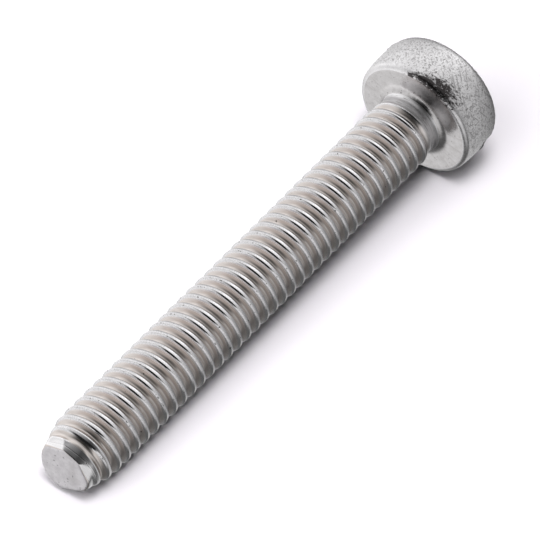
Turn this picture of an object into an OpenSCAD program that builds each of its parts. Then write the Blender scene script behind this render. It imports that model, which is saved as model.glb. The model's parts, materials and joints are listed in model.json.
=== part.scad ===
// Slotted cheese head screw, one piece of steel: a headed blank with a sawn slot and a rolled end.
// It lies as it comes to rest, on the side of its head and on the end of its thread.
// +X runs towards the head, +Z is up, and the origin is at the middle of the bottom of its box.

/* [Shank] */
// Length from the bearing face under the head to the flat end
shank_len = 25.6; // [12:0.1:50]
// Diameter over the thread's crests
thread_d = 3.5; // [3.3:0.05:4.2]
// Pitch of the thread, which sets how long the plain neck and the run-out are
thread_pitch = 0.66; // [0.4:0.01:0.9]
// Diameter of the plain neck between the thread and the head
neck_d = 3.2; // [2.9:0.01:3.3]
// Radius of the fillet between the neck and the head
fillet_r = 0.45; // [0.1:0.05:0.6]

/* [End] */
// Diameter of the flat end face
end_face_d = 2.72; // [2:0.02:3.2]
// Length of the lead, the rounded taper from the end face up to the full thread
lead_len = 1.9; // [1.2:0.05:3]
// Radius that breaks the edge of the end face
end_edge_r = 0.12; // [0.04:0.02:0.3]

/* [Head] */
// Largest diameter of the head
head_d = 6.4; // [5.2:0.1:8]
// Height of the head
head_h = 2.7; // [2.2:0.02:4]
// Radius of the shallow bulge along the side of the head
head_side_r = 7; // [5:0.5:40]
// Radius that breaks the edge round the bearing face
head_edge_r = 0.26; // [0.05:0.01:0.4]
// Radius round the top of the head
head_top_r = 0.7; // [0.2:0.05:0.9]

/* [Slot] */
// Width of the driver slot
slot_w = 0.9; // [0.5:0.05:1.4]
// Depth of the driver slot, from the top of the head
slot_depth = 1.3; // [0.6:0.05:1.8]
// Turn of the slot about the screw's axis, from straight down
slot_turn = 114; // [0:1:179]

/* [Hidden] */
$fn = 96;
arc_step = 9;
past = 1;
steel = [0.77, 0.76, 0.75];

thread_r = thread_d / 2;
neck_r = neck_d / 2;
head_r = head_d / 2;
end_face_r = end_face_d / 2;

// The plain neck takes two pitches, and the last of them is the thread's run-out.
runout_z = -thread_pitch;
thread_top_z = -2 * thread_pitch;
thread_end_z = lead_len - shank_len;

// The lead's arc is tangent to the thread and runs down to the end face, whose edge radius blends
// into it.
lead_drop = thread_r - end_face_r;
lead_r = (pow(lead_len, 2) + pow(lead_drop, 2)) / (2 * lead_drop);
lead_r0 = thread_r - lead_r;
end_edge_r0 = lead_r0 + blend_out(lead_r, end_edge_r, lead_len - end_edge_r);
lead_turn = atan2(lead_len - end_edge_r, end_edge_r0 - lead_r0);

// Centre of the bulge along the head's side, and where its two edge radii blend into it
side_r0 = head_r - head_side_r;
side_z0 = (head_h + head_edge_r - head_top_r) / 2;
edge_r0 = side_r0 + blend_out(head_side_r, head_edge_r, side_z0 - head_edge_r);
top_r0 = side_r0 + blend_out(head_side_r, head_top_r, head_h - head_top_r - side_z0);
edge_turn = atan2(head_edge_r - side_z0, edge_r0 - side_r0);
top_turn = atan2(head_h - head_top_r - side_z0, top_r0 - side_r0);

// How far out of a large arc's centre a small arc's centre sits, when they are this far apart in
// height and the small one touches the large one from inside
function blend_out(large, small, apart) = sqrt(pow(large - small, 2) - pow(apart, 2));

// Points along an arc in the profile's plane, from one angle to another
function arc(at, r, from, to) =
    let (steps = max(4, ceil(abs(to - from) / arc_step)))
    [for (i = [0 : steps]) at + r * [cos(from + (to - from) * i / steps),
                                     sin(from + (to - from) * i / steps)]];

// The slope at which an arc of radius r, centred at [out, up] on the head's side, and the lead's
// arc touch one floor together
function rest_slope(r, out, up) =
    let (along = up - thread_end_z, across = out - lead_r0)
    atan2(across, along) + asin((r - lead_r) / norm([along, across]));

// The head touches on its bulge, or on its edge radius where the bulge is too flat to reach down.
side_slope = rest_slope(head_side_r, side_r0, side_z0);
lay_slope = side_slope <= -edge_turn ? side_slope
                                     : rest_slope(head_edge_r, edge_r0, head_edge_r);

// Height of the axis at the bearing face, and the two ends of the box along X
axis_z = lead_r + lead_r0 * cos(lay_slope) - thread_end_z * sin(lay_slope);
box_head_x = (head_h - head_top_r) * cos(lay_slope) + top_r0 * sin(lay_slope) + head_top_r;
box_tip_x = (end_edge_r - shank_len) * cos(lay_slope)
            - end_edge_r0 * sin(lay_slope) - end_edge_r;

// Half of the screw's section: distance from the axis, height above the bearing face
module screw_section() {
    polygon(concat(
        [[0, -shank_len]],
        arc([end_edge_r0, end_edge_r - shank_len], end_edge_r, -90, -lead_turn),
        arc([lead_r0, thread_end_z], lead_r, -lead_turn, 0),
        [[thread_r, thread_top_z],
         [neck_r, runout_z]],
        arc([neck_r + fillet_r, -fillet_r], fillet_r, 180, 90),
        arc([edge_r0, head_edge_r], head_edge_r, -90, edge_turn),
        arc([side_r0, side_z0], head_side_r, edge_turn, top_turn),
        arc([top_r0, head_h - head_top_r], head_top_r, top_turn, 90),
        [[0, head_h]]
    ));
}

// The sawn slot, right across the head
module driver_slot() {
    translate([-head_r - past, -slot_w / 2, head_h - slot_depth])
        cube([head_d + 2 * past, slot_w, slot_depth + past]);
}

// The screw standing on its axis, with the bearing face at height 0 and the head up
module upright_screw() {
    difference() {
        rotate_extrude() screw_section();
        rotate([0, 0, slot_turn]) driver_slot();
    }
}

module screw() {
    color(steel)
        translate([-(box_head_x + box_tip_x) / 2, 0, axis_z])
            rotate([0, 90 - lay_slope, 0])
                upright_screw();
}

screw();
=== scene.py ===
# %% [markdown]
# # A slotted cheese head screw
#
# This lesson builds one small steel machine screw: a deep round head with a saw cut across it, a
# short plain neck, and a fine thread that runs down to a blunt end. A screw like this starts as a
# piece of wire. One end is upset into the head, the slot is sawn, and the thread is rolled between
# two hard dies, which press grooves in and push ridges up without cutting any chips.
#
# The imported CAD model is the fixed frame. It has the true outline of the screw as it lies on a
# surface, with a smooth cylinder where the thread is. Everything made below stays inside it.

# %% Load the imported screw
import bpy
import bmesh
import json
import math
from mathutils import Matrix, Vector, noise


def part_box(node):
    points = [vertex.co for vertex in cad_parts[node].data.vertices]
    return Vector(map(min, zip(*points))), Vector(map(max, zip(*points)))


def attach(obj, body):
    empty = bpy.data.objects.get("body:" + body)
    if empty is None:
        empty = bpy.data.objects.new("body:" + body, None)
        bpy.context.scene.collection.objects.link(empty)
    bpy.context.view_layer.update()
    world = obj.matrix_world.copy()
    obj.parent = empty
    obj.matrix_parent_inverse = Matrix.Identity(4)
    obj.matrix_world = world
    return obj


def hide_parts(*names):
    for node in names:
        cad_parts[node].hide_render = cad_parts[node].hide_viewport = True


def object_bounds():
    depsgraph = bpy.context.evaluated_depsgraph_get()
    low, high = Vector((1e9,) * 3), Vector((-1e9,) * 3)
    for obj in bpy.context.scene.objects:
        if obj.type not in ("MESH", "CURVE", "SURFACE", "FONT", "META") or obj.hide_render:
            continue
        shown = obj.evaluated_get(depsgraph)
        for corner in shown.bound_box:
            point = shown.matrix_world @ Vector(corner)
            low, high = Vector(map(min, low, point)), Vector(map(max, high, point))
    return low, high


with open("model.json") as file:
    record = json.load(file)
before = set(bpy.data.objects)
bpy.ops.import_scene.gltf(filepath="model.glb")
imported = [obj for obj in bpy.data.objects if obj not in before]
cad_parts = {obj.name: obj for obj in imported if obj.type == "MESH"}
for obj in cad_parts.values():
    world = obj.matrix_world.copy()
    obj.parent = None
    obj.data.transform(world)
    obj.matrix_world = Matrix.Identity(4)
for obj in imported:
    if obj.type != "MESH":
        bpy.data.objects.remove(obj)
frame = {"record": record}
cad_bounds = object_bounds()
MM = 0.001
box_low, box_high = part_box("screw")
print("box of the CAD screw, mm:", [round(size / MM, 3) for size in box_high - box_low])

# %% [markdown]
# The record that comes with the CAD model says where the screw can be held: by its shank, under
# its head, and in its slot. Those three places also say how the screw lies, so they are read here
# and not typed in. It is easiest to make a screw standing upright, with the bearing face under the
# head at height zero, and to lay it down at the very end.

# %% Read how the screw lies
mounts = {mount["name"]: mount for mount in frame["record"]["mounts"]}
axis = Vector(mounts["driver_slot"]["axis"]).normalized()
slot_mouth = Vector(mounts["driver_slot"]["pos_m"])
bearing_at = Vector(mounts["bearing_face"]["pos_m"])
head_h = (slot_mouth - bearing_at).dot(axis) / MM
bearing_centre = slot_mouth - axis * head_h * MM
crest_r = mounts["thread_shank"]["dims"]["r_mm"]
lay_slope = math.asin(axis.z)
print("head height", round(head_h, 3), "mm, thread radius", crest_r, "mm")
print("the axis rises", round(math.degrees(lay_slope), 2), "degrees towards the head")

# %% [markdown]
# These are the other sizes of the screw in millimetres, the same as in the CAD model. Heights are
# measured along the axis: the head is above zero and the shank below it.

# %% Sizes of the screw
shank_len = 25.6
lead_len = 1.9
end_face_r = 1.36
end_edge_r = 0.12
pitch = 0.66
neck_r = 1.6
fillet_r = 0.45
head_r = 3.2
side_r = 7.0
edge_r = 0.26
top_r = 0.7
slot_w = 0.9
slot_depth = 1.3
slot_turn = math.radians(114)
print("pitches along the shank:", round(shank_len / pitch, 1))

# %% [markdown]
# A thread is one small shape repeated along a helix, so the shape comes first. Its flanks stand at
# 47.5 degrees to each other. The top of a rolled ridge isn't even: the side towards the end of the
# screw is a crisp shoulder with a narrow facet, and from there the top slopes gently back and
# rolls over in a wide curve. The groove's bottom is round. A list of measured points could draw
# this, but then no size could be changed. Here the outline is walked like a path instead, as bends
# and straight runs.

# %% One pitch of the thread's shape
flank_angle = 47.5
flank_turn = math.radians(90 - flank_angle / 2)
top_lean = math.radians(8)
facet_turn = math.radians(50)
facet_w = 0.058
facet_r = 0.03
top_run = 0.095
back_r = 0.15
groove_r = 0.12


def bend(path, radius, start, end, steps):
    along, high = path[-1]
    for i in range(1, steps + 1):
        facing = start + (end - start) * i / steps
        path.append((along + radius * (math.sin(facing) - math.sin(start)),
                     high + radius * (math.cos(facing) - math.cos(start))))


def run(path, length, facing):
    along, high = path[-1]
    path.append((along + length * math.cos(facing), high - length * math.sin(facing)))


def walk(back_flank, front_flank):
    path = [(0.0, 0.0)]
    bend(path, facet_r, -flank_turn, -facet_turn, steps=1)
    run(path, facet_w, -facet_turn)
    bend(path, facet_r, -facet_turn, top_lean, steps=3)
    run(path, top_run, top_lean)
    bend(path, back_r, top_lean, flank_turn, steps=4)
    run(path, back_flank, flank_turn)
    bend(path, -groove_r, flank_turn, -flank_turn, steps=4)
    run(path, front_flank, -flank_turn)
    return path


print("the flanks stand at", flank_angle, "degrees to each other")

# %% [markdown]
# The two flanks' lengths are still open. They have to bring the path back to the height where it
# started, exactly one pitch further on, and those two conditions give the two lengths. After that,
# heights are kept as shares, from 0 in the groove to 1 on the ridge, so that the same shape also
# fits where the thread is shallow.

# %% Fit the flanks to the pitch


def thread_shape():
    short_along, short_high = walk(0, 0)[-1]
    both = (pitch - short_along) / math.cos(flank_turn)
    more = -short_high / math.sin(flank_turn)
    path = walk(back_flank=(both - more) / 2, front_flank=(both + more) / 2)
    top = max(high for along, high in path)
    bottom = min(high for along, high in path)
    depth = top - bottom
    return [(along, (high - bottom) / depth) for along, high in path[:-1]], depth


shape, thread_depth = thread_shape()
print(len(shape), "points on each pitch; the thread is", round(thread_depth, 3), "mm deep")

# %% [markdown]
# Rolling moves metal and takes none away. The ridges rise above the plain blank by about as much
# as the grooves sink below it, so the blank's own radius decides how full the thread can be. The
# shear squeezed the blank's end out of round and pinched two slanting flats into its edge, and the
# ridges there stay low and thin. Near the head the dies stop and the grooves fade out into the
# plain neck. The next functions give the blank's radius, and the surface's radius at any height
# and turn and at any share of the way from groove to ridge.

# %% The blank and how deep the dies press
root_r = crest_r - thread_depth
rise_share = (crest_r - neck_r) / (neck_r - root_r)
lobes = [(3, 0.09, 0.0), (5, 0.03, 0.4)]
lobes_drop = 0.06
pinches = [(math.radians(161), 1.16, math.radians(30)),
           (math.radians(-118), 1.15, math.radians(35))]
pinch_grip = 0.3
dies_full_z = -1.25
dies_off_z = -0.65


def smooth(value, low, high):
    t = min(1.0, max(0.0, (value - low) / (high - low)))
    return t * t * (3 - 2 * t)


def blank_radius(z, turn):
    from_end = z + shank_len
    short = max(0.0, 1 - from_end / lead_len)
    drop = (neck_r - end_face_r) * short ** 2
    lumps = sum(size * math.sin(count * turn + start) for count, size, start in lobes)
    radius = neck_r - drop + (lumps - lobes_drop) * short ** 1.5
    for pinch_turn, reach, tilt in pinches:
        facing = math.cos(turn - pinch_turn)
        if facing > pinch_grip:
            radius = min(radius, (reach + math.tan(tilt) * from_end) / facing)
    return radius


def surface_radius(z, turn, high):
    blank = blank_radius(z, turn)
    root = min(root_r, blank)
    crest = blank + (blank - root) * rise_share
    off = smooth(z, dies_full_z, dies_off_z)
    full = root + (crest - root) * high
    return full + (blank - full) * off


print("ridges rise", round(rise_share, 2), "mm for each mm that the grooves sink")

# %% [markdown]
# Now the thread is rolled. The sheet of faces is a grid of columns round the screw and rows that
# follow the helix, so every crest lies exactly on a row and stays crisp with few faces. The last
# column joins the first one a whole pitch further on, which is what makes it a screw and not a
# pile of rings. This cell makes one corner of that grid. Real steel isn't perfect: a fine ripple
# sinks into all of it, and the crisp shoulder is torn into tiny teeth. Two numbers are kept with
# each corner for the finish: how far up the ridge it is, and if it is the shoulder. At the very end
# every corner counts as ridge, because the shear ironed even the grooves bare.

# %% One corner of the thread
columns = 112
first_crest = 0.592
bm = bmesh.new()
rows_per_turn = len(shape)
shoulder_rows = (2, 3)
ripple = 0.0015
ripple_size = 0.35
teeth = 0.016
teeth_size = 0.13
bare_from = 0.8
bare_to = 0.4
on_ridge = bm.verts.layers.float.new("ridge")
on_shoulder = bm.verts.layers.float.new("shoulder")


def roughness_at(x, y, z, size):
    return noise.noise(Vector((x, y, z)) / size)


def sunk_at(x, y, z, size):
    return 0.5 + 0.5 * roughness_at(x, y, z, size)


def thread_vertex(row, column):
    turn = 2 * math.pi * column / columns
    along, high = shape[row % rows_per_turn]
    z = first_crest - shank_len + pitch * (row // rows_per_turn + column / columns) + along
    radius = surface_radius(z, turn, high)
    x, y = radius * math.cos(turn), radius * math.sin(turn)
    shoulder = row % rows_per_turn in shoulder_rows
    radius -= ripple * sunk_at(x, y, z, ripple_size)
    radius -= shoulder * teeth * sunk_at(x, y, z, teeth_size)
    vert = bm.verts.new((radius * math.cos(turn) * MM, radius * math.sin(turn) * MM, z * MM))
    vert[on_ridge] = max(high, smooth(-z, shank_len - bare_from, shank_len - bare_to))
    vert[on_shoulder] = shoulder
    return vert


print("the sheet has", columns, "columns and", rows_per_turn, "rows to each turn")

# %% [markdown]
# Four corners make a face. Past the last column the grid goes on at the first one, a whole turn of
# rows higher. The sheet is made too long at both ends, and is trimmed next.

# %% Roll the thread
low_turn = -3
high_turn = int((shank_len - first_crest) / pitch) + 2
rows = range(low_turn * rows_per_turn, high_turn * rows_per_turn + 1)
grid = {(row, column): thread_vertex(row, column) for row in rows for column in range(columns)}
for row in rows:
    for column in range(columns):
        last = column == columns - 1
        next_column = 0 if last else column + 1
        shift = rows_per_turn if last else 0
        corners = [(row, column), (row + shift, next_column),
                   (row + shift + 1, next_column), (row + 1, column)]
        if all(corner in grid for corner in corners):
            bm.faces.new([grid[corner] for corner in corners])
print("rolled", len(bm.faces), "faces")

# %% [markdown]
# Two flat cuts trim the sheet: one through the plain neck, and one just above the end. Each leaves
# an open ring of edges. The helper puts a ring's corners in order round the axis, so that new
# rings can be joined to it.

# %% Trim both ends
neck_cut_z = -0.62
end_cut_z = end_edge_r - shank_len
same_height = 0.001
weld = 1e-7


def trim(z, keep_above):
    everything = bm.verts[:] + bm.edges[:] + bm.faces[:]
    bmesh.ops.bisect_plane(bm, geom=everything, dist=weld, plane_co=(0, 0, z * MM),
                           plane_no=(0, 0, 1), clear_inner=keep_above,
                           clear_outer=not keep_above)


def open_ring(z):
    ring = {vert for edge in bm.edges if edge.is_boundary for vert in edge.verts
            if abs(vert.co.z / MM - z) < same_height}
    return sorted(ring, key=lambda vert: math.atan2(vert.co.y, vert.co.x))


trim(neck_cut_z, keep_above=False)
trim(end_cut_z, keep_above=True)
neck_ring = open_ring(neck_cut_z)
end_ring = open_ring(end_cut_z)
print("open rings:", len(neck_ring), "corners at the neck,", len(end_ring), "at the end")

# %% [markdown]
# The rest of the screw is turned about the axis, so each ring can be carried on to the next radius
# and height of the outline. The helper adds one such ring and the faces between. The radius is one
# number, or a share of each corner's own radius where the outline isn't round. In the same way the
# height is one number, or a function of the turn and the radius where the face is slanted. A
# second helper closes the last ring with a fan of faces round one corner on the axis.

# %% Carry a ring on


def carry(ring, z, radius=None, share=1.0, up=True):
    placed = []
    for vert in ring:
        turn = math.atan2(vert.co.y, vert.co.x)
        out = radius if radius is not None else vert.co.xy.length / MM * share
        height = z(turn, out) if callable(z) else z
        placed.append(bm.verts.new((out * math.cos(turn) * MM, out * math.sin(turn) * MM,
                                    height * MM)))
    for i, vert in enumerate(ring):
        j = (i + 1) % len(ring)
        face = [vert, ring[j], placed[j], placed[i]]
        bm.faces.new(face if up else reversed(face))
    return placed


def close(ring, z, up=True):
    centre = bm.verts.new((0, 0, z * MM))
    for i, vert in enumerate(ring):
        face = [vert, ring[(i + 1) % len(ring)], centre]
        bm.faces.new(face if up else reversed(face))


print("a ring takes", len(neck_ring), "new faces")

# %% [markdown]
# The end is where the wire was sheared off, a few degrees out of square. Its edge is broken by a
# small radius and its face is nearly flat. A few rings inside it keep the faces even, and shallow
# hollows stop it from looking like glass.

# %% Close the end
end_lean = math.tan(math.radians(5))
low_side = math.radians(29)
set_back = 0.015
hollow_depth = 0.012
hollow_size = 0.5
noise_level = 7
centre_z = -shank_len - 0.01
edge_steps = 4
face_rings = 10


def sheared(drop, dent=0.0):
    def height(turn, out):
        x, y = out * math.cos(turn), out * math.sin(turn)
        lean = -out * math.cos(turn - low_side) * end_lean - set_back
        hollow = dent * sunk_at(x, y, noise_level, hollow_size)
        return end_cut_z - drop + (lean + hollow) * drop / end_edge_r
    return height


ring = end_ring
for i in range(1, edge_steps + 1):
    round_off = math.pi / 2 * i / edge_steps
    before = math.pi / 2 * (i - 1) / edge_steps
    mean_r = sum(vert.co.xy.length for vert in ring) / len(ring) / MM
    inset = end_edge_r * (math.cos(before) - math.cos(round_off))
    slant = sheared(end_edge_r * math.sin(round_off))
    ring = carry(ring, slant, share=1 - inset / mean_r, up=False)
for i in range(face_rings - 1):
    share = (face_rings - 1 - i) / (face_rings - i)
    ring = carry(ring, sheared(end_edge_r, hollow_depth), share=share, up=False)
close(ring, centre_z, up=False)
print("the end face is about", round(2 * (mean_r - end_edge_r), 2), "mm across")

# %% [markdown]
# The head is one outline carried round: a fillet out of the neck, the flat bearing face, a small
# radius at its edge, a side that bulges slightly because the wire was squeezed into it, and a
# well rounded top. The bulge and both radii touch each other smoothly, so their centres are worked
# out from the sizes. The flat faces get rings too, so that the next step can dent them.

# %% Carry the outline up the head
side_r0 = head_r - side_r
side_z0 = (head_h + edge_r - top_r) / 2
edge_r0 = side_r0 + math.sqrt((side_r - edge_r) ** 2 - (side_z0 - edge_r) ** 2)
top_r0 = side_r0 + math.sqrt((side_r - top_r) ** 2 - (head_h - top_r - side_z0) ** 2)
edge_turn = math.atan2(edge_r - side_z0, edge_r0 - side_r0)
top_turn = math.atan2(head_h - top_r - side_z0, top_r0 - side_r0)
fillet_r0 = neck_r + fillet_r
fillet_foot_z = -0.53
small_steps = 8
side_steps = 18
top_steps = 12
top_rings = 14


def arc(out, up, radius, start, end, steps):
    angles = [start + (end - start) * i / steps for i in range(steps + 1)]
    return [(out + radius * math.cos(a), up + radius * math.sin(a)) for a in angles]


outline = [(neck_r, fillet_foot_z)]
outline += arc(fillet_r0, -fillet_r, fillet_r, math.pi, math.pi / 2, small_steps)
outline += [(fillet_r0 + (edge_r0 - fillet_r0) * i / small_steps, 0.0)
            for i in range(1, small_steps)]
outline += arc(edge_r0, edge_r, edge_r, -math.pi / 2, edge_turn, small_steps)
outline += arc(side_r0, side_z0, side_r, edge_turn, top_turn, side_steps)[1:]
outline += arc(top_r0, head_h - top_r, top_r, top_turn, math.pi / 2, top_steps)[1:]
outline += [(top_r0 * (1 - i / top_rings), head_h) for i in range(1, top_rings)]
ring = neck_ring
for out, z in outline:
    ring = carry(ring, z, radius=out)
close(ring, head_h)
bm.normal_update()
print("the head has", len(outline), "rings; faces in all", len(bm.faces))

# %% [markdown]
# Screws are tumbled in a drum together, and knock small soft dents into each other's heads. Here
# the head's skin is pushed in, never out, by about a hundredth of a millimetre. Wide soft dents and
# small ones are mixed, and they fade away towards the bearing face, which stays flat.

# %% Tumble the head
dent_depth = 0.012
wide_dent = 0.6
small_dent = 0.22
wide_share = 0.6
dents_from_z = 0.02
dents_full_z = 0.3
for vert in bm.verts:
    x, y, z = vert.co / MM
    if z > dents_from_z:
        wide = wide_share * sunk_at(x, y, z, wide_dent)
        small = (1 - wide_share) * sunk_at(x, y, z, small_dent)
        push = dent_depth * (wide + small) * smooth(z, dents_from_z, dents_full_z)
        vert.co -= vert.normal * push * MM
print("dents are up to", dent_depth, "mm deep")

# %% [markdown]
# The upright screw becomes an object. The slot is sawn with a Boolean modifier, as a cutter in the
# shape of the saw's path is the simplest way to keep both walls straight and parallel.

# %% Saw the slot
mesh = bpy.data.meshes.new("cheese_head_screw")
bm.to_mesh(mesh)
bm.free()
screw = bpy.data.objects.new("cheese_head_screw", mesh)
bpy.context.scene.collection.objects.link(screw)

saw = bmesh.new()
bmesh.ops.create_cube(saw, size=1.0)
past_head = 0.5
for vert in saw.verts:
    vert.co.x *= 2 * (head_r + past_head) * MM
    vert.co.y *= slot_w * MM
    vert.co.z = (head_h + past_head if vert.co.z > 0 else head_h - slot_depth) * MM
bmesh.ops.rotate(saw, verts=saw.verts, matrix=Matrix.Rotation(slot_turn, 3, "Z"))
saw_mesh = bpy.data.meshes.new("saw_path")
saw.to_mesh(saw_mesh)
saw.free()
saw_path = bpy.data.objects.new("saw_path", saw_mesh)
bpy.context.scene.collection.objects.link(saw_path)

cut = screw.modifiers.new("sawn_slot", "BOOLEAN")
cut.operation = "DIFFERENCE"
cut.object = saw_path
cut.solver = "EXACT"
bpy.context.view_layer.update()
sawn = bpy.data.meshes.new_from_object(screw.evaluated_get(bpy.context.evaluated_depsgraph_get()))
screw.modifiers.clear()
screw.data = sawn
bpy.data.objects.remove(saw_path)
print("after the saw:", len(sawn.polygons), "faces")

# %% [markdown]
# Each part of the surface was made in its own way, so it gets its own finish. Faces are sorted by
# where they lie: the sawn slot, the head's tumbled skin, the pressed and sheared flat faces, and
# the rolled shank. The end face is slanted, so height alone can't tell it from its own edge, and
# there the way that a face looks decides.

# %% Sort the faces by how they were made
ROLLED, TUMBLED, PRESSED, SAWN = range(4)
across_slot = Vector((-math.sin(slot_turn), math.cos(slot_turn), 0))
floor_slack = 0.01
wall_slack = 0.002
pressed_from_z = -0.2
end_zone = 0.4
looks_down = -0.85


def made_by(face):
    x, y, z = face.center / MM
    beside = abs(Vector((x, y, 0)).dot(across_slot))
    if z > head_h - slot_depth - floor_slack and beside < slot_w / 2 + wall_slack:
        return SAWN
    if z > 0.0:
        return TUMBLED
    faces_end = z < end_zone - shank_len and face.normal.z < looks_down
    if z > pressed_from_z or faces_end:
        return PRESSED
    return ROLLED


for face in sawn.polygons:
    face.material_index = made_by(face)
    face.use_smooth = True
counts = [sum(face.material_index == kind for face in sawn.polygons) for kind in range(4)]
print("rolled, tumbled, pressed and sawn faces:", counts)

# %% [markdown]
# Smooth shading has to stop at the slot's edges, so those edges are marked sharp. The saw also
# turns up a small ragged burr where the slot meets the head's skin, and the corners there are
# raised a little. Weighted normals keep the long flat flanks of the thread flat, while the small
# faces of the crests stay round.

# %% Keep sharp edges sharp
ready = bmesh.new()
ready.from_mesh(sawn)
burr_h = 0.05
burr_size = 0.3
crease = math.radians(35)
flat_first = 80
sharp = 0
rim = set()
for edge in ready.edges:
    kinds = {face.material_index for face in edge.link_faces}
    if SAWN in kinds and edge.calc_face_angle(0) > crease:
        edge.smooth = False
        sharp += 1
        if TUMBLED in kinds:
            rim.update(edge.verts)
ready.normal_update()
for vert in sorted(rim, key=lambda vert: vert.index):
    skin = [face.normal for face in vert.link_faces if face.material_index == TUMBLED]
    outwards = sum(skin, Vector()).normalized()
    x, y, z = vert.co / MM
    vert.co += outwards * burr_h * (0.5 + roughness_at(x, y, z, burr_size)) * MM
ready.to_mesh(sawn)
ready.free()
weighted = screw.modifiers.new("weighted_normals", "WEIGHTED_NORMAL")
weighted.keep_sharp = True
weighted.weight = flat_first
print(sharp, "sharp edges round the slot,", len(rim), "corners raised into a burr")

# %% [markdown]
# Now the screw is laid down. The same slope and place as in the CAD model turn the upright mesh
# onto its side, resting on its head and on the end of its thread. The turn goes into the mesh
# itself, so the object stays at the origin, as the CAD object does.

# %% Lay the screw down
down = Vector((math.sin(lay_slope), 0, -math.cos(lay_slope)))
turn_down = Matrix((down, Vector((0, 1, 0)), axis)).transposed()
sawn.transform(Matrix.Translation(bearing_centre) @ turn_down.to_4x4())
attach(screw, "root")
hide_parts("screw")
print("the bearing face's middle is at", [round(v / MM, 2) for v in bearing_centre], "mm")

# %% [markdown]
# A finish is a small tree of nodes. The helpers below start a finish, add a node with its plain
# numbers and its joined inputs, and do sums with numbers or other nodes, so that each finish
# further down reads as a short list.

# %% Helpers that add nodes


def new_finish(name):
    material = bpy.data.materials.new(name)
    material.use_nodes = True
    tree = material.node_tree
    shader = tree.nodes["Principled BSDF"]
    shader.inputs["Metallic"].default_value = 1.0
    return material, tree, shader


def add(tree, kind, values=None, links=None, **settings):
    made = tree.nodes.new(kind)
    for key, value in settings.items():
        setattr(made, key, value)
    for key, value in (values or {}).items():
        made.inputs[key].default_value = value
    for key, source in (links or {}).items():
        tree.links.new(source, made.inputs[key])
    return made


def math_node(tree, operation, *terms):
    made = add(tree, "ShaderNodeMath", operation=operation)
    for i, term in enumerate(terms):
        if isinstance(term, (int, float)):
            made.inputs[i].default_value = term
        else:
            tree.links.new(term, made.inputs[i])
    return made.outputs[0]


print("ready: new_finish, add and math_node")

# %% [markdown]
# The next helpers turn one value into another. A ramp carries a value from one range to another
# and holds it at both ends. Rising is the commonest ramp: 0 up to one value and 1 from another
# one on. A share like that then blends two numbers or two colours.

# %% Helpers that blend


def ramp(tree, source, low, high, from_low, from_high):
    made = add(tree, "ShaderNodeMapRange", {"From Min": from_low, "From Max": from_high,
                                            "To Min": low, "To Max": high}, {"Value": source})
    return made.outputs["Result"]


def rising(tree, source, none_at, full_at):
    return ramp(tree, source, 0.0, 1.0, none_at, full_at)


def blend_numbers(tree, share, first, second):
    return ramp(tree, share, first, second, 0.0, 1.0)


def blend_colours(tree, share, first, second):
    made = add(tree, "ShaderNodeMix", data_type="RGBA")
    tree.links.new(share, made.inputs["Factor"])
    for socket, value in ((made.inputs["A"], first), (made.inputs["B"], second)):
        if isinstance(value, tuple):
            socket.default_value = (*value, 1.0)
        else:
            tree.links.new(value, socket)
    return made.outputs["Result"]


print("ready: ramp, rising, blend_numbers and blend_colours")

# %% [markdown]
# Marks on a turned and rolled part run round its axis, so the place on the surface is turned back
# upright here, in millimetres: Z is the height along the axis, as it was while the mesh was made.
# Noise over that place gives clouds and grain, and noise that is squeezed one way gives lines. A
# bump changes only how the surface catches the light, so it is kept for the finest marks.

# %% Helpers that mark the surface


def upright_place(tree):
    place = add(tree, "ShaderNodeTexCoord").outputs["Object"]
    upright = add(tree, "ShaderNodeMapping", {"Location": bearing_centre,
                                              "Rotation": turn_down.to_euler()},
                  {"Vector": place}, vector_type="TEXTURE")
    return add(tree, "ShaderNodeMapping", {"Scale": (1 / MM, 1 / MM, 1 / MM)},
               {"Vector": upright.outputs[0]}).outputs[0]


def split(tree, place):
    return add(tree, "ShaderNodeSeparateXYZ", links={"Vector": place}).outputs


def distance_along(tree, place, way):
    return add(tree, "ShaderNodeVectorMath", {1: way}, {0: place},
               operation="DOT_PRODUCT").outputs["Value"]


def noise_node(tree, place, per_mm, detail=3.0, rough=0.5, squeeze=(1, 1, 1)):
    squeezed = add(tree, "ShaderNodeMapping", {"Scale": squeeze}, {"Vector": place})
    made = add(tree, "ShaderNodeTexNoise", {"Scale": per_mm, "Detail": detail,
                                            "Roughness": rough}, {"Vector": squeezed.outputs[0]})
    return made.outputs["Fac"]


def bump_node(tree, height, depth_mm):
    return add(tree, "ShaderNodeBump", {"Strength": 1.0, "Distance": depth_mm * MM},
               {"Height": height}).outputs[0]


print("ready: upright_place, split, distance_along, noise_node and bump_node")

# %% [markdown]
# The rolled thread's finish takes three steps. The first one finds where things are, as shares from
# 0 to 1: the tops of the ridges, the collar of plain neck, the fillet under the head, and the last
# bit at the end, where even the grooves are bare. The slide marks are noise squeezed along the
# axis, so they run round the screw, the way the metal slid under the dies. Specks of black scale
# are pressed in anywhere, and small nicks break the ridges' shoulders.

# %% Find the parts of the rolled thread
neck_z = (-1.0, -0.75)
fillet_z = (-0.52, -0.42)
bare_end_z = (0.75 - shank_len, 1.0 - shank_len)
rolled, tree, shader = new_finish("rolled_thread")
place = upright_place(tree)
height = add(tree, "ShaderNodeAttribute", attribute_name="ridge").outputs["Fac"]
shoulder = add(tree, "ShaderNodeAttribute", attribute_name="shoulder").outputs["Fac"]
ridge = rising(tree, height, 0.55, 0.75)
up_axis = split(tree, place)["Z"]
in_neck = rising(tree, up_axis, *neck_z)
in_fillet = rising(tree, up_axis, *fillet_z)
at_end = ramp(tree, up_axis, 1.0, 0.0, *bare_end_z)
cloud = noise_node(tree, place, 1.3)
grain = noise_node(tree, place, 16.0, 3.0, 0.7)
slide = noise_node(tree, place, 1.2, 3.0, 0.6, (1, 1, 14))
specks = rising(tree, noise_node(tree, place, 4.5, 2.0, 0.5), 0.73, 0.78)
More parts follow.
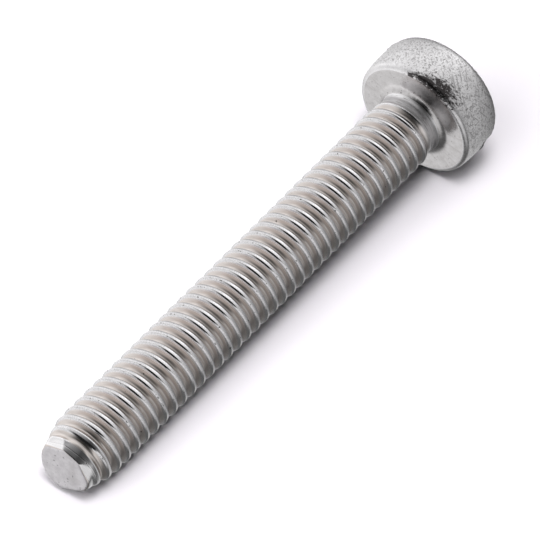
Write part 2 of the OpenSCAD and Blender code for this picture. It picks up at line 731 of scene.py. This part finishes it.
nicks = rising(tree, noise_node(tree, place, 6.0, 2.0, 0.6), 0.62, 0.68)
nicks = math_node(tree, "MULTIPLY", shoulder, nicks)
print("neck from", neck_z[0], "mm, fillet from", fillet_z[0], "mm")

# %% [markdown]
# Stainless steel is a pale grey. On a rolled thread the tops of the ridges are bare and bright, and
# the grooves keep a thin brown film of oil and heat, which looks darker still because light bounces
# several times between the flanks. The collar is bare too, with dark streaks round it.

# %% Colours of the rolled thread
bright = (0.78, 0.77, 0.78)
satin = (0.64, 0.63, 0.64)
polished = (0.75, 0.74, 0.755)
film = (0.655, 0.602, 0.570)
thin_film = (0.700, 0.650, 0.625)
brown_hair = (0.42, 0.375, 0.35)
streak_grey = (0.20, 0.19, 0.185)
# This black is for real scale and nicks, and also for painted shade and a painted reflection on the
# head.
black_scale_and_shade = (0.05, 0.045, 0.045)
groove = blend_colours(tree, cloud, film, thin_film)
groove = blend_colours(tree, ramp(tree, slide, 0.0, 0.35, 0.5, 0.7), groove, brown_hair)
bare = blend_colours(tree, rising(tree, grain, 0.42, 0.58), satin, polished)
bare = blend_colours(tree, math_node(tree, "MAXIMUM", at_end, in_neck), bare, bright)
steel = blend_colours(tree, ridge, groove, bare)
steel = blend_colours(tree, in_neck, steel, bare)
steel = blend_colours(tree, math_node(tree, "MAXIMUM", specks, nicks), steel, black_scale_and_shade)
streaks = math_node(tree, "MULTIPLY", in_neck, ramp(tree, slide, 0.0, 0.65, 0.55, 0.66))
steel = blend_colours(tree, streaks, steel, streak_grey)
tree.links.new(steel, shader.inputs["Base Color"])
print("grooves", film, "and ridges", satin, "to", polished)

# %% [markdown]
# Then comes how dull the steel is: 0 is a mirror and 1 is chalk. The ridges are the crispest, and
# the grooves are a little duller. The collar is matt, and the fillet beyond it crisper again. The
# end is bare and crisp all round, except on the one side where the shear dragged over it. The
# ridges get a fine grain and the collar gets fine rings.

# %% Dullness and marks of the rolled thread
groove_dull = 0.28
ridge_dull = 0.12
collar_dull = 0.48
fillet_less_dull = 0.14
drag_dull = 0.25
drag_turn = math.radians(-95)
drag_side = Vector((math.cos(drag_turn), math.sin(drag_turn), 0))
dullness = blend_numbers(tree, ridge, groove_dull, ridge_dull)
dullness = math_node(tree, "MAXIMUM", dullness, blend_numbers(tree, in_neck, 0.0, collar_dull))
dullness = math_node(tree, "SUBTRACT", dullness,
                     blend_numbers(tree, in_fillet, 0.0, fillet_less_dull))
dragged = ramp(tree, distance_along(tree, place, drag_side), 0.0, drag_dull, 0.8, 1.1)
dullness = math_node(tree, "MAXIMUM", dullness, math_node(tree, "MULTIPLY", at_end, dragged))
tree.links.new(dullness, shader.inputs["Roughness"])
on_ridges = math_node(tree, "MULTIPLY", grain, blend_numbers(tree, ridge, 0.2, 0.5))
in_collar = math_node(tree, "SUBTRACT", in_neck, in_fillet)
in_rings = math_node(tree, "MULTIPLY", slide, blend_numbers(tree, in_collar, 0.3, 7.0))
marks = math_node(tree, "ADD", on_ridges, in_rings)
tree.links.new(bump_node(tree, marks, 0.0015), shader.inputs["Normal"])
print("made", rolled.name, "with", len(tree.nodes), "nodes")

# %% [markdown]
# The head's skin is satin from tumbling. Under a glass it is full of small grey pits and short
# scratches that cross, and the steel between them is bright. The knocks don't reach well round the
# small radius at the bearing face, so there are fewer marks there.

# %% Pits and scratches of the tumbled head
tumbled, tree, shader = new_finish("tumbled_head")
place = upright_place(tree)
up_axis = split(tree, place)["Z"]
fine_pits = ramp(tree, noise_node(tree, place, 11.0, 3.0, 0.6), 0.0, 0.55, 0.56, 0.66)
deep_pits = ramp(tree, noise_node(tree, place, 7.0, 2.0, 0.5), 0.0, 0.8, 0.64, 0.69)


def scratches(tree, place, tilt, turn, amount):
    turned = add(tree, "ShaderNodeMapping", {"Rotation": (tilt, 0.3, turn)}, {"Vector": place})
    lines = noise_node(tree, turned.outputs[0], 1.3, 2.0, 0.5, (0.5, 9, 9))
    return ramp(tree, lines, 0.0, amount, 0.60, 0.65)


crossed = math_node(tree, "MAXIMUM", scratches(tree, place, 0.6, 0.5, 0.5),
                    scratches(tree, place, -0.9, 1.1, 0.5))
worn = math_node(tree, "MAXIMUM", math_node(tree, "MAXIMUM", fine_pits, deep_pits), crossed)
worn = math_node(tree, "MULTIPLY", ramp(tree, up_axis, 0.15, 1.0, 0.08, 0.35), worn)
print("pits and scratches ready on", tumbled.name)

# %% [markdown]
# Beside the bearing face, the side of the head mirrors the dark room by the camera, and that dark
# reflection is painted on as one long patch. The patch gets a place of its own, with its middle at
# zero: X runs along it, Y across it and Z in and out of the head. Each is divided by the patch's
# own half size, and the half width grows from one end to the other. The patch is then wherever the
# distance from its middle is less than about 1.

# %% Place the painted reflection
# Painted reflection: this black patch stands for the dark room mirrored in the head's side.
painted_reflection_r = 3.1
painted_reflection_z = 0.24
painted_reflection_turn = math.radians(-160)
painted_reflection_slant = math.radians(10)
painted_reflection_half_length = 1.38
painted_reflection_half_width = (0.12, 0.62)
painted_reflection_reach = 3.0
painted_reflection_at = Vector((painted_reflection_r * math.cos(painted_reflection_turn), painted_reflection_r * math.sin(painted_reflection_turn), painted_reflection_z))
round_head = Vector((-math.sin(painted_reflection_turn), math.cos(painted_reflection_turn), 0))
painted_reflection_along = round_head * math.cos(painted_reflection_slant) + Vector((0, 0, math.sin(painted_reflection_slant)))
painted_reflection_up = Vector((0, 0, math.cos(painted_reflection_slant))) - round_head * math.sin(painted_reflection_slant)
painted_reflection_frame = Matrix((painted_reflection_along, painted_reflection_up, painted_reflection_along.cross(painted_reflection_up))).transposed()
on_painted_reflection = add(tree, "ShaderNodeMapping", {"Location": painted_reflection_at, "Rotation": painted_reflection_frame.to_euler()},
               {"Vector": place}, vector_type="TEXTURE").outputs[0]
painted_reflection_parts = split(tree, on_painted_reflection)
half_width = ramp(tree, painted_reflection_parts["X"], *painted_reflection_half_width, -1.3, 1.1)
shares = add(tree, "ShaderNodeCombineXYZ", links={
    "X": math_node(tree, "DIVIDE", painted_reflection_parts["X"], painted_reflection_half_length),
    "Y": math_node(tree, "DIVIDE", painted_reflection_parts["Y"], half_width),
    "Z": math_node(tree, "DIVIDE", painted_reflection_parts["Z"], painted_reflection_reach)})
from_middle = add(tree, "ShaderNodeVectorMath", links={0: shares.outputs[0]},
                  operation="LENGTH").outputs["Value"]
print("scuff at", [round(v, 2) for v in painted_reflection_at], "mm")

# %% [markdown]
# Noise added to that distance makes the patch's edge ragged, and brighter hatching is painted inside
# it as part of the reflection. The saw turns up a thin burr along both edges of the slot, and the
# shade beside it is painted there as a dark line.

# %% Paint the dark reflection and the shade at the slot
edge_noise = noise_node(tree, on_painted_reflection, 4.0, 4.0, 0.7, (1, 3, 1))
ragged = math_node(tree, "ADD", from_middle, ramp(tree, edge_noise, -0.9, 0.9, 0.2, 0.8))
reflection_hatch = math_node(tree, "MAXIMUM", scratches(tree, on_painted_reflection, 0.0, 0.0, 1.0),
                  scratches(tree, on_painted_reflection, 0.0, 0.7, 1.0))
# Painted reflection: the dark patch, with brighter painted hatching inside it.
painted_reflection = math_node(tree, "MULTIPLY", ramp(tree, ragged, 0.97, 0.0, 0.8, 1.05),
                  blend_numbers(tree, reflection_hatch, 1.0, 0.4))
# Painted shade: a dark line along both edges of the slot, where the raised burr sits.
beside_slot = math_node(tree, "ABSOLUTE", distance_along(tree, place, across_slot))
slot_floor_z = head_h - slot_depth
near_edge = ramp(tree, beside_slot, 0.9, 0.0, slot_w / 2 + 0.03, slot_w / 2 + 0.09)
above_floor = rising(tree, up_axis, slot_floor_z - 0.08, slot_floor_z)
slot_edge_shade = math_node(tree, "MULTIPLY", near_edge, above_floor)
print("burr from", round(slot_floor_z, 2), "mm up")

# %% [markdown]
# Last on the head, the colours are laid over each other: clouds of bright and satin steel first,
# then the grey pits and scratches, and on top the painted black reflection and the painted shade
# along the slot. The pits and scratches are pressed in a little as well.

# %% Colours of the tumbled head
pit_grey = (0.16, 0.15, 0.15)
mottle = noise_node(tree, place, 2.2, 5.0, 0.65)
grain = noise_node(tree, place, 18.0, 3.0, 0.6)
base = blend_colours(tree, rising(tree, mottle, 0.3, 0.7), satin, bright)
base = blend_colours(tree, worn, base, pit_grey)
# The painted reflection and the painted shade at the slot go on in black.
base = blend_colours(tree, math_node(tree, "MAXIMUM", painted_reflection, slot_edge_shade), base, black_scale_and_shade)
tree.links.new(base, shader.inputs["Base Color"])
tree.links.new(ramp(tree, grain, 0.24, 0.36, 0.35, 0.7), shader.inputs["Roughness"])
skin = math_node(tree, "SUBTRACT", math_node(tree, "MULTIPLY", grain, 0.5), worn)
tree.links.new(bump_node(tree, skin, 0.008), shader.inputs["Normal"])
print("made", tumbled.name, "with", len(tree.nodes), "nodes")

# %% [markdown]
# The bearing face under the head was pressed flat by a die, and its fine marks run outwards from
# the neck, the way the metal spread. Noise read from the direction alone, without the distance,
# draws them. The sheared end is paler, duller and mottled. Any height halfway along the shank
# tells the two faces apart.

# %% Finish of the pressed faces
sheared_dark = (0.56, 0.54, 0.56)
sheared_pale = (0.72, 0.70, 0.72)
pressed_dark = (0.50, 0.485, 0.485)
pressed_pale = (0.61, 0.595, 0.60)
mark_grey = (0.36, 0.34, 0.335)
pit_dark = (0.12, 0.11, 0.11)
pressed, tree, shader = new_finish("pressed_face")
place = upright_place(tree)
outward = add(tree, "ShaderNodeVectorMath", links={0: place}, operation="NORMALIZE").outputs[0]
cloud = noise_node(tree, place, 2.6, 5.0, 0.65)
spread = noise_node(tree, outward, 9.0, 3.0, 0.6)
pits = ramp(tree, noise_node(tree, place, 6.0, 2.0, 0.5), 0.0, 0.6, 0.66, 0.71)
under_head = rising(tree, split(tree, place)["Z"], -10.0, -9.0)
dark_tone = blend_colours(tree, under_head, sheared_dark, pressed_dark)
pale_tone = blend_colours(tree, under_head, sheared_pale, pressed_pale)
base = blend_colours(tree, rising(tree, cloud, 0.35, 0.65), dark_tone, pale_tone)
base = blend_colours(tree, ramp(tree, spread, 0.0, 0.55, 0.56, 0.72), base, mark_grey)
base = blend_colours(tree, pits, base, pit_dark)
tree.links.new(base, shader.inputs["Base Color"])
end_duller = blend_numbers(tree, under_head, 0.22, 0.0)
dullness = math_node(tree, "ADD", ramp(tree, cloud, 0.18, 0.26, 0.3, 0.7), end_duller)
tree.links.new(dullness, shader.inputs["Roughness"])
marks = math_node(tree, "ADD", cloud, spread)
tree.links.new(bump_node(tree, marks, 0.006), shader.inputs["Normal"])
print("made", pressed.name, "with", len(tree.nodes), "nodes")

# %% [markdown]
# The saw leaves fine straight lines along the walls and floor of the slot. The place is turned so
# that X runs along the slot, and the noise is stretched that way.

# %% Finish of the sawn slot
sawn_dark = (0.42, 0.41, 0.40)
sawn_pale = (0.60, 0.59, 0.58)
sawn_steel, tree, shader = new_finish("sawn_slot")
place = upright_place(tree)
along_slot = add(tree, "ShaderNodeMapping", {"Rotation": (0, 0, -slot_turn)}, {"Vector": place})
lines = noise_node(tree, along_slot.outputs[0], 6.0, 4.0, 0.6, (0.05, 2.0, 2.0))
tree.links.new(blend_colours(tree, lines, sawn_dark, sawn_pale),
               shader.inputs["Base Color"])
tree.links.new(ramp(tree, lines, 0.3, 0.45, 0.3, 0.7), shader.inputs["Roughness"])
tree.links.new(bump_node(tree, lines, 0.012), shader.inputs["Normal"])
print("made", sawn_steel.name, "with", len(tree.nodes), "nodes")

# %% [markdown]
# The faces were numbered when they were sorted, so the finishes go onto the mesh in that same
# order: rolled, tumbled, pressed, sawn.

# %% Dress the screw
for material in (rolled, tumbled, pressed, sawn_steel):
    sawn.materials.append(material)
print("finishes on the screw:", [material.name for material in sawn.materials])

# %% [markdown]
# The camera looks down on the screw from beyond its end, from far away with a long lens, so the
# shank hardly tapers with distance. It aims a little beside the middle of the screw's box.

# %% Set the camera
box_centre = (cad_bounds[0] + cad_bounds[1]) / 2
aim_shift = Vector((-0.065, -0.493, -0.332))
aim = box_centre + aim_shift * MM
view_turn = math.radians(-141.81)
view_rise = math.radians(47.485)
view_distance = 200.4 * MM
lens = 294.03
sensor_width = 36


def direction_to(turn, rise):
    return Vector((math.cos(rise) * math.cos(turn), math.cos(rise) * math.sin(turn),
                   math.sin(rise)))


towards_camera = direction_to(view_turn, view_rise)
camera_data = bpy.data.cameras.new("camera")
camera_data.sensor_width = sensor_width
camera_data.lens = lens
camera_data.clip_start = 0.01
camera = bpy.data.objects.new("camera", camera_data)
camera.location = aim + towards_camera * view_distance
camera.rotation_euler = (-towards_camera).to_track_quat("-Z", "Y").to_euler()
bpy.context.scene.collection.objects.link(camera)
bpy.context.scene.camera = camera
print("camera at", [round(v / MM, 1) for v in camera.location], "mm")

# %% [markdown]
# The floor is a plain pale sheet, large enough to reach past every view. It is matt, and the steel
# doesn't mirror it, so that the tent alone decides what the steel shows.

# %% Lay the floor
half = 1.5
off_white = (0.90, 0.868, 0.915, 1)
floor_mesh = bpy.data.meshes.new("floor")
floor_mesh.from_pydata([(-half, -half, 0), (half, -half, 0), (half, half, 0), (-half, half, 0)],
                       [], [(0, 1, 2, 3)])
floor = bpy.data.objects.new("floor", floor_mesh)
bpy.context.scene.collection.objects.link(floor)
pale = bpy.data.materials.new("pale_floor")
pale.use_nodes = True
pale_shader = pale.node_tree.nodes["Principled BSDF"]
pale_shader.inputs["Base Color"].default_value = off_white
pale_shader.inputs["Specular IOR Level"].default_value = 0.0
pale_shader.inputs["Roughness"].default_value = 0.9
floor_mesh.materials.append(pale)
floor.visible_glossy = False
print("floor", 2 * half, "m across")

# %% [markdown]
# Small shiny things are lit in a tent of white cloth, because steel looks like whatever it mirrors.
# The tent is the world here, and it goes on below the floor. Its cloth is seen by angle round the
# screw: 0 is level on the near side, 90 is straight up, 180 is level on the far side, and minus 90
# is straight down.

# %% Measure the angle round the screw
world = bpy.data.worlds.new("tent")
bpy.context.scene.world = world
world.use_nodes = True
tree = world.node_tree
direction = add(tree, "ShaderNodeTexCoord").outputs["Generated"]
parts = split(tree, direction)
towards_near = math_node(tree, "MULTIPLY", parts["Y"], -1.0)
over = math_node(tree, "DEGREES", math_node(tree, "ARCTAN2", parts["Z"], towards_near))
round_screw = rising(tree, over, -180, 180)
brightest = 2.0
print("the brightest cloth may be", brightest)

# %% [markdown]
# Each strip of cloth has its own brightness at each angle, in pairs of angle and brightness. The
# far side glows. Seen from the camera, the slopes of the ridges mirror the strip alongside, and it
# is open over the near side, onto a dark room: that draws thin black lines along the ridges. Their
# tops, the neck and the side of the head mirror the strip near the head. The head's round outer
# edge mirrors the one beyond the head, and the bearing face and the sheared end mirror the one
# beyond the end.

# %% Hang four strips of cloth


def cloth_strip(stops):
    strip = add(tree, "ShaderNodeValToRGB", links={"Fac": round_screw})
    cloth = strip.color_ramp
    while len(cloth.elements) < len(stops):
        cloth.elements.new(0.5)
    for element, (angle, glow) in zip(cloth.elements, stops):
        element.position = (angle + 180) / 360
        element.color = (*[glow / brightest] * 3, 1)
    return strip.outputs["Color"]


alongside = cloth_strip([(-180, 1.4), (-150, 1.0), (-110, 0.25), (-85, 0.12), (-60, 0.12),
                         (-30, 0.1), (0, 0.12), (20, 0.35), (45, 0.12), (65, 0.08), (100, 0.72),
                         (130, 0.9), (150, 1.35), (180, 1.4)])
near_head = cloth_strip([(-180, 1.1), (-120, 0.8), (-60, 0.6), (-20, 0.65), (20, 0.75),
                         (60, 0.88), (100, 1.15), (140, 1.15), (180, 1.1)])
beyond_head = cloth_strip([(-180, 0.52), (-120, 0.25), (-90, 0.12), (-55, 0.2), (-15, 0.3),
                           (20, 0.47), (45, 0.78), (90, 1.5), (135, 0.85), (180, 0.52)])
beyond_end = cloth_strip([(-180, 0.9), (-130, 1.3), (-108, 0.9), (-90, 0.15), (-60, 0.15),
                          (-40, 0.7), (0, 0.95), (14, 0.95), (26, 0.01), (100, 0.02), (125, 0.55),
                          (145, 1.0), (180, 0.9)])
print("hung 4 strips of cloth")

# %% [markdown]
# The strips run into each other along X, the way the screw lies. The tent is for the steel alone.
# The floor doesn't see it, and the light that would reach the floor by way of the steel is held
# back too, because it would fill the shadow with bright specks.

# %% Sew the strips together
to_near_head = rising(tree, parts["X"], 0.12, 0.42)
to_head = rising(tree, parts["X"], 0.55, 0.67)
to_end = ramp(tree, parts["X"], 1.0, 0.0, -0.55, 0.0)
cloth = blend_colours(tree, to_near_head, alongside, near_head)
cloth = blend_colours(tree, to_head, cloth, beyond_head)
cloth = blend_colours(tree, to_end, cloth, beyond_end)
light_path = add(tree, "ShaderNodeLightPath")
after_floor = math_node(tree, "GREATER_THAN", light_path.outputs["Diffuse Depth"], 0.5)
hidden = math_node(tree, "MULTIPLY", light_path.outputs["Is Glossy Ray"], after_floor)
cloth = blend_colours(tree, hidden, cloth, (0.0, 0.0, 0.0))
background = tree.nodes["Background"]
tree.links.new(cloth, background.inputs["Color"])
background.inputs["Strength"].default_value = brightest
world.cycles_visibility.diffuse = False
print("made", world.name, "with", len(tree.nodes), "nodes")

# %% [markdown]
# Three soft lamps whiten the floor and draw the shadow. The small high one gives it a dark core
# close to the screw, the low one shines in from beyond the end, and the wide one overhead softens
# it all. They are kept out of the reflections, as a studio hides lamps behind the tent's cloth.

# %% Add the lamps
lamp_distance = 0.6


def soft_lamp(name, turn, rise, size, power):
    data = bpy.data.lights.new(name, "AREA")
    data.size = size
    data.energy = power
    lamp = bpy.data.objects.new(name, data)
    away = direction_to(math.radians(turn), math.radians(rise))
    lamp.location = box_centre + away * lamp_distance
    lamp.rotation_euler = (-away).to_track_quat("-Z", "Y").to_euler()
    lamp.visible_glossy = False
    bpy.context.scene.collection.objects.link(lamp)
    return lamp


lamps = [soft_lamp("high_lamp", turn=230, rise=75, size=0.2, power=2.0),
         soft_lamp("low_lamp", turn=175, rise=40, size=0.5, power=2.6),
         soft_lamp("sky_lamp", turn=40, rise=80, size=1.0, power=3.0)]
bpy.context.scene.view_settings.view_transform = "Standard"
print("lamps:", [lamp.name for lamp in lamps])

# %% Print the CAD box
print("CAD box, mm: ", [[round(v / MM, 3) for v in corner] for corner in cad_bounds])
